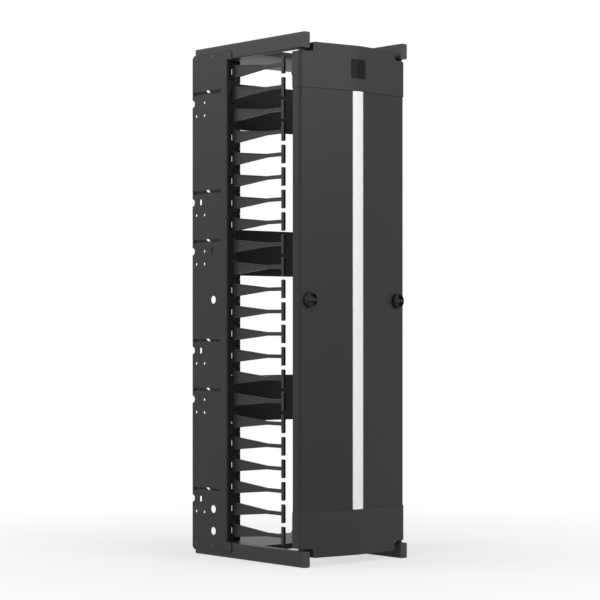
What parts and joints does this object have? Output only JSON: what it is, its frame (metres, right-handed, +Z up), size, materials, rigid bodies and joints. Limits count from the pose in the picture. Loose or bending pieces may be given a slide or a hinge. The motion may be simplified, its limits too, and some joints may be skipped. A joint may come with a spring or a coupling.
{
  "type": "vertical cable manager",
  "caption": "Tall single-sided vertical cable manager: slotted side panels, T-ended finger rows, and a shallow V door on pins that knobs throw or draw, so it opens from either side.",
  "frame": {"origin": "centre of the box in plan, on the plane under the lower arms", "axes": "+X right, +Y to the rear, away from the door, +Z up"},
  "size_m": [0.2828, 0.3618, 1.044],
  "materials": {
    "panel_coat": "satin black powder coat",
    "arm_coat": "satin black powder coat",
    "door_coat": "fine textured black powder coat",
    "cap_plastic": "fine spark-eroded black moulding",
    "plug_plastic": "matte black moulding",
    "finger_plastic": "satin black moulding",
    "knob_plastic": "satin black moulding",
    "strip_plastic": "satin light grey moulding",
    "plaque_plastic": "gloss black",
    "fastener_black": "black zinc plate",
    "bush_nylon": "black nylon",
    "zinc_steel": "bright zinc plate"
  },
  "bodies": {
    "frame": {"side_panel_left": "panel_coat", "side_panel_right": "panel_coat", "upper_arm_left": "arm_coat", "upper_arm_right": "arm_coat", "lower_arm_left": "arm_coat", "lower_arm_right": "arm_coat", "front_plugs": "plug_plastic", "rear_plugs": "plug_plastic", "top_tie_plate": "panel_coat", "bottom_tie_plate": "panel_coat", "cross_plate_upper": "panel_coat", "cross_plate_middle": "panel_coat", "cross_plate_lower": "panel_coat", "fingers_left_upper": "finger_plastic", "fingers_left_lower": "finger_plastic", "fingers_right_upper": "finger_plastic", "fingers_right_lower": "finger_plastic", "panel_screws": "fastener_black", "cross_plate_rivets": "fastener_black", "tie_plate_rivets": "fastener_black", "pin_bushes": "bush_nylon"},
    "door": {"door_skin": "door_coat", "door_cap_top": "cap_plastic", "door_cap_bottom": "cap_plastic", "door_strip": "strip_plastic", "door_plaque": "plaque_plastic", "door_rail": "zinc_steel", "rod_guides_left": "bush_nylon", "rod_guides_right": "bush_nylon", "knob_bushes": "bush_nylon"},
    "left_knob": {"knob_left": "knob_plastic", "scroll_cam_left": "zinc_steel", "cam_screw_left": "zinc_steel"},
    "right_knob": {"knob_right": "knob_plastic", "scroll_cam_right": "zinc_steel", "cam_screw_right": "zinc_steel"},
    "left_upper_rod": {"upper_rod_left": "zinc_steel", "upper_shoe_left": "bush_nylon"},
    "left_lower_rod": {"lower_rod_left": "zinc_steel", "lower_shoe_left": "bush_nylon"},
    "right_upper_rod": {"upper_rod_right": "zinc_steel", "upper_shoe_right": "bush_nylon"},
    "right_lower_rod": {"lower_rod_right": "zinc_steel", "lower_shoe_right": "bush_nylon"}
  },
  "joints": [
    {"name": "door_swing", "type": "hinge", "parent": "frame", "child": "door", "pos_m": [-0.13, -0.15639, 0.522], "axis": [0, 0, -1], "range_deg": [0, 110]},
    {"name": "left_knob_turn", "type": "hinge", "parent": "door", "child": "left_knob", "pos_m": [-0.116, -0.16478, 0.522], "axis": [-0.1184, -0.993, 0], "range_deg": [0, 180]},
    {"name": "right_knob_turn", "type": "hinge", "parent": "door", "child": "right_knob", "pos_m": [0.116, -0.16478, 0.522], "axis": [0.1184, -0.993, 0], "range_deg": [0, 180]},
    {"name": "left_upper_pin", "type": "slide", "parent": "door", "child": "left_upper_rod", "axis": [0, 0, -1], "range_m": [0, 0.008]},
    {"name": "left_lower_pin", "type": "slide", "parent": "door", "child": "left_lower_rod", "axis": [0, 0, 1], "range_m": [0, 0.008]},
    {"name": "right_upper_pin", "type": "slide", "parent": "door", "child": "right_upper_rod", "axis": [0, 0, 1], "range_m": [0, 0.008]},
    {"name": "right_lower_pin", "type": "slide", "parent": "door", "child": "right_lower_rod", "axis": [0, 0, -1], "range_m": [0, 0.008]}
  ],
  "couplings": [
    {"joint": "left_knob_turn", "follows": "left_upper_pin", "rad_per_m": 392.7},
    {"joint": "left_lower_pin", "follows": "left_upper_pin", "ratio": 1},
    {"joint": "right_knob_turn", "follows": "right_upper_pin", "rad_per_m": 392.7},
    {"joint": "right_lower_pin", "follows": "right_upper_pin", "ratio": 1}
  ]
}
